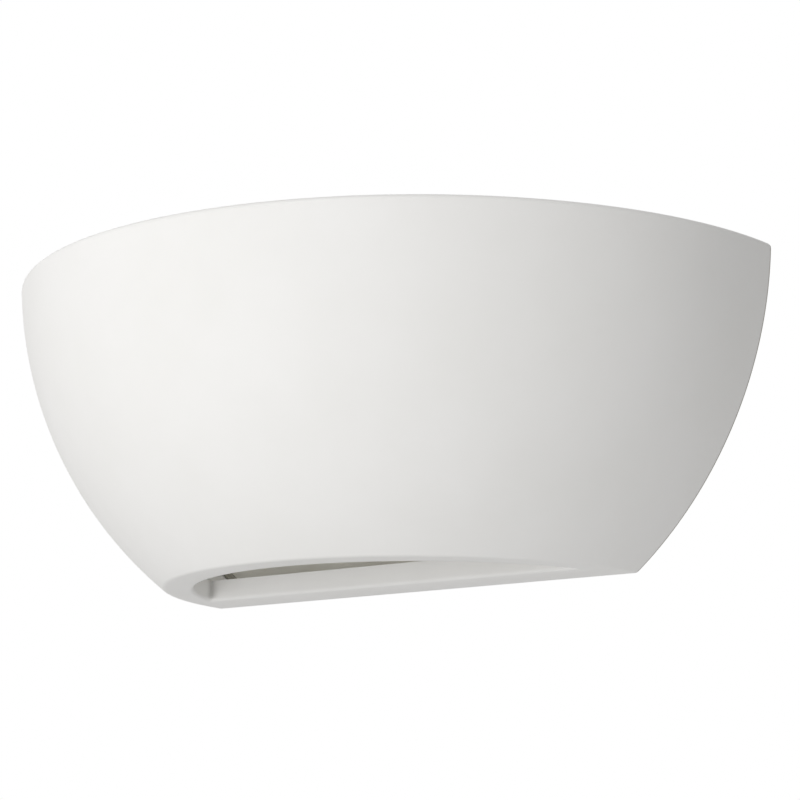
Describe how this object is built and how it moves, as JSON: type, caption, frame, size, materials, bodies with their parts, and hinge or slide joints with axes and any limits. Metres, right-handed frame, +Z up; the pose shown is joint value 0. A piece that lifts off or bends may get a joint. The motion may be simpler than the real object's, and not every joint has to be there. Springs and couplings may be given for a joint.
{
  "type": "uplighter wall sconce",
  "caption": "White plaster half bowl that stands on the wall, open at the top with a small downlight slot in its floor, over a screw lampholder and lamp on a steel back plate.",
  "frame": {"origin": "in the plane of the wall, midway between the two wall screws", "axes": "+Z up, +X to the right seen from the room, +Y into the wall; the light stands out towards -Y"},
  "size_m": [0.3206, 0.1603, 0.1185],
  "materials": {
    "plaster": "matt white, fine cast surface",
    "white_paint": "white powder coat, low gloss",
    "zinc_steel": "bright zinc plate",
    "brass": "turned brass, lightly dulled",
    "tinned_copper": "tinned, satin",
    "grommet_rubber": "black, matt",
    "nylon": "natural polyamide, slightly waxy",
    "brown_insulation": "brown, satin",
    "blue_insulation": "blue, satin",
    "earth_insulation": "green with a yellow stripe, satin",
    "holder_plastic": "white moulding, semi-gloss",
    "insert_plastic": "cream heat-proof moulding, matt",
    "lamp_contact": "plated brass, lightly dulled",
    "cap_glass": "black glass",
    "cap_metal": "rolled cap, satin",
    "lamp_plastic": "white moulding, satin",
    "lamp_diffuser": "opal diffuser, satin",
    "led_mask": "white solder mask on an aluminium core",
    "circuit_laminate": "green laminate",
    "phosphor": "yellow phosphor, satin"
  },
  "bodies": {
    "wall_unit": {"back_plate": "white_paint", "stud_left": "zinc_steel", "stud_right": "zinc_steel", "cable_grommet": "grommet_rubber", "lamp_arm": "white_paint", "arm_rivets": "zinc_steel", "wire_bush": "nylon", "terminal_block": "nylon", "terminal_tubes": "brass", "terminal_screws": "zinc_steel", "block_screws": "zinc_steel", "earth_screw": "zinc_steel", "earth_nut": "zinc_steel", "earth_washer": "zinc_steel", "earth_tag": "tinned_copper", "live_wire": "brown_insulation", "neutral_wire": "blue_insulation", "earth_wire": "earth_insulation", "holder_nipple": "zinc_steel", "lock_washer": "zinc_steel", "locknut": "zinc_steel", "holder_dome": "holder_plastic", "holder_insert": "insert_plastic", "holder_terminals": "brass", "holder_terminal_screws": "zinc_steel", "holder_skirt": "holder_plastic", "screw_shell": "brass", "centre_contact": "brass"},
    "bowl": {"plaster_bowl": "plaster", "hanger_tab_left": "zinc_steel", "hanger_tab_right": "zinc_steel", "washer_left": "zinc_steel", "washer_right": "zinc_steel"},
    "nut_left": {"knurled_nut_left": "brass"},
    "nut_right": {"knurled_nut_right": "brass"},
    "lamp_foot": {"lamp_tip": "lamp_contact"},
    "lamp": {"lamp_insulator": "cap_glass", "lamp_cap": "cap_metal", "lamp_collar": "lamp_plastic", "driver_board": "circuit_laminate", "led_board": "led_mask", "led_chips": "phosphor", "lamp_globe": "lamp_diffuser"}
  },
  "joints": [
    {"name": "bowl_lift_off", "type": "slide", "parent": "wall_unit", "child": "bowl", "axis": [0, -1, 0], "range_m": [0, 0.11]},
    {"name": "nut_left_turn", "type": "hinge", "parent": "bowl", "child": "nut_left", "pos_m": [-0.117, -0.009, 0], "axis": [0, -1, 0], "range_deg": [0, 360]},
    {"name": "nut_right_turn", "type": "hinge", "parent": "bowl", "child": "nut_right", "pos_m": [0.117, -0.009, 0], "axis": [0, -1, 0], "range_deg": [0, 360]},
    {"name": "lamp_travel", "type": "slide", "parent": "wall_unit", "child": "lamp_foot", "axis": [1, 0, 0], "range_m": [0, 0.0145]},
    {"name": "lamp_turn", "type": "hinge", "parent": "lamp_foot", "child": "lamp", "pos_m": [-0.02, -0.058, 0], "axis": [1, 0, 0], "range_deg": [0, 1440]}
  ],
  "couplings": [
    {"joint": "lamp_travel", "follows": "lamp_turn", "m_per_rad": 0.000576}
  ]
}
